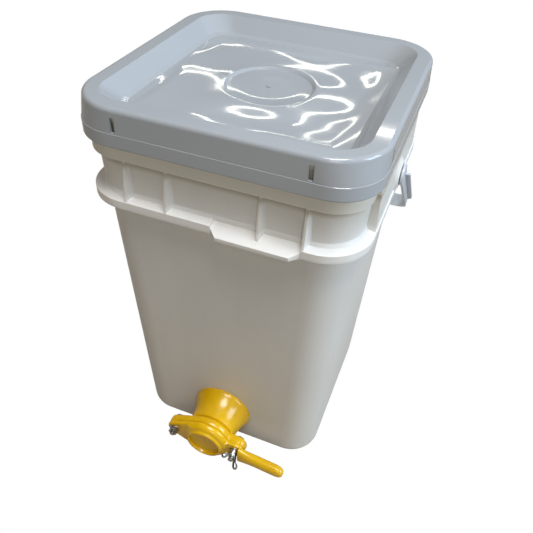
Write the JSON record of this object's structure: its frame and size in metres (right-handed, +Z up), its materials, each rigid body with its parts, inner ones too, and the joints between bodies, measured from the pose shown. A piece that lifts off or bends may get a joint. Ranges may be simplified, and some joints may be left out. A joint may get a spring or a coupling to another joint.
{
  "type": "bottling bucket",
  "caption": "Tall square-sided plastic pail with rounded corners, press-on lid, swinging bail handle and a low outlet gate with a lever paddle and wing-nut clamp.",
  "frame": {"origin": "centre of the bucket's flat base, on the surface that it stands on", "axes": "+Z up through the lid; the gate is on the -Y wall and its lever points to +X"},
  "size_m": [0.3118, 0.3382, 0.4631],
  "materials": {
    "bucket_plastic": "milky satin",
    "lid_plastic": "glossy",
    "bail_plastic": "satin",
    "gate_plastic": "glossy moulded",
    "gasket_rubber": "matt",
    "hardware_steel": "bright plated"
  },
  "bodies": {
    "tub": {"bucket": "bucket_plastic", "gate_body": "gate_plastic", "gate_wall_seal": "gasket_rubber", "gate_lock_nut": "gate_plastic", "pivot_screw": "hardware_steel", "pivot_washer": "hardware_steel", "pivot_nut": "hardware_steel", "clamp_screw": "hardware_steel"},
    "lid": {"lid": "lid_plastic", "lid_gasket": "gasket_rubber"},
    "bail": {"bail_handle": "bail_plastic"},
    "paddle": {"gate_paddle": "gate_plastic"},
    "clamp_carrier": {"clamp_washer": "hardware_steel"},
    "wing": {"wing_nut": "hardware_steel"}
  },
  "joints": [
    {"name": "lid_lift", "type": "slide", "parent": "tub", "child": "lid", "axis": [0, 0, 1], "range_m": [0, 0.15]},
    {"name": "bail_swing", "type": "hinge", "parent": "tub", "child": "bail", "pos_m": [0, 0, 0.378], "axis": [1, 0, 0], "range_deg": [0, 262]},
    {"name": "paddle_swing", "type": "hinge", "parent": "tub", "child": "paddle", "pos_m": [-0.043, -0.16705, 0.05288], "axis": [0, -0.9991, -0.0418], "range_deg": [0, 100]},
    {"name": "clamp_travel", "type": "slide", "parent": "tub", "child": "clamp_carrier", "axis": [0, -0.9991, -0.0418], "range_m": [0, 0.00305]},
    {"name": "wing_turn", "type": "hinge", "parent": "clamp_carrier", "child": "wing", "pos_m": [0.0385, -0.17405, 0.05259], "axis": [0, -0.9991, -0.0418], "range_deg": [0, 1080]}
  ],
  "couplings": [
    {"joint": "clamp_travel", "follows": "wing_turn", "m_per_rad": 0.00015915}
  ]
}
